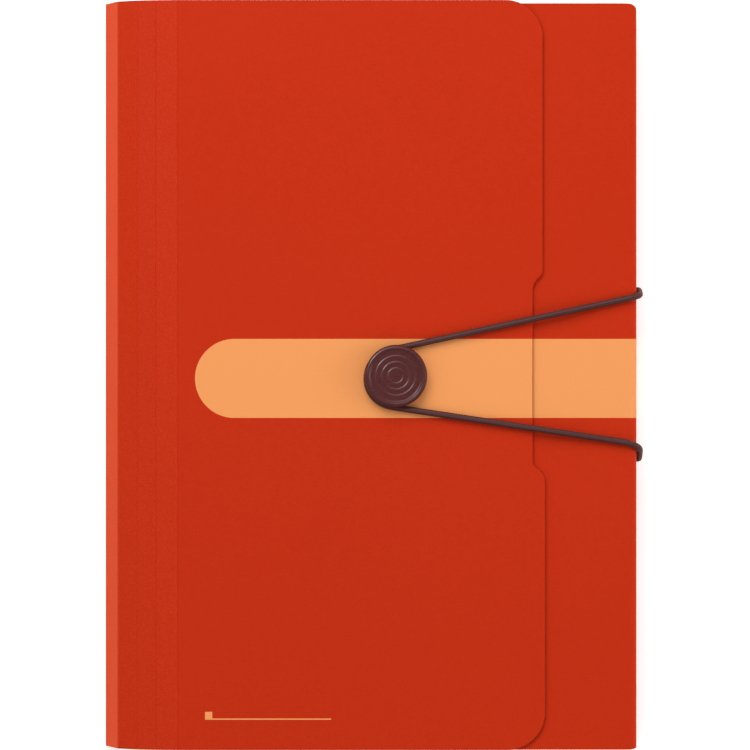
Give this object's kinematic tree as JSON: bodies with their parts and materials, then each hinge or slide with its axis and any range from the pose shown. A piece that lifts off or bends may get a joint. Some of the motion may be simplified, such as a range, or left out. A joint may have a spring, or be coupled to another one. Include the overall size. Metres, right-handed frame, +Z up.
{
  "type": "expanding file",
  "caption": "A4 expanding file of folded plastic sheet with pleated index pockets, a fold-over flap, and an elastic cord looped round a button.",
  "frame": {"origin": "on the table under the middle of the file and its cord, with the file lying on its back panel", "axes": "+X from the flap's hinge to the closed strip with the cord holes, +Y to the top edge along the hinge, +Z up out of the front with the button"},
  "size_m": [0.2384, 0.33, 0.0361],
  "materials": {
    "case_sheet": "satin",
    "pocket_film": "satin",
    "gusset_film": "satin",
    "button_moulding": "satin",
    "elastic_cord": "matte",
    "stopper_moulding": "satin"
  },
  "bodies": {
    "file_body": {"case_wrap": "case_sheet", "pocket_divider_01": "pocket_film", "pocket_divider_02": "pocket_film", "pocket_divider_03": "pocket_film", "pocket_divider_04": "pocket_film", "pocket_divider_05": "pocket_film", "pocket_divider_06": "pocket_film", "pocket_divider_07": "pocket_film", "pocket_divider_08": "pocket_film", "pocket_divider_09": "pocket_film", "pocket_divider_10": "pocket_film", "pocket_divider_11": "pocket_film", "side_gusset_top": "gusset_film", "side_gusset_bottom": "gusset_film", "elastic_cord": "elastic_cord", "stopper_bar_upper": "stopper_moulding", "stopper_bar_lower": "stopper_moulding"},
    "flap": {"flap_sheet": "case_sheet", "closure_button": "button_moulding", "rivet_washer": "button_moulding"}
  },
  "joints": [
    {"name": "flap_hinge", "type": "hinge", "parent": "file_body", "child": "flap", "pos_m": [-0.1192, 0, 0], "axis": [0, -1, 0], "range_deg": [0, 108], "deforming": ["elastic_cord"]}
  ]
}
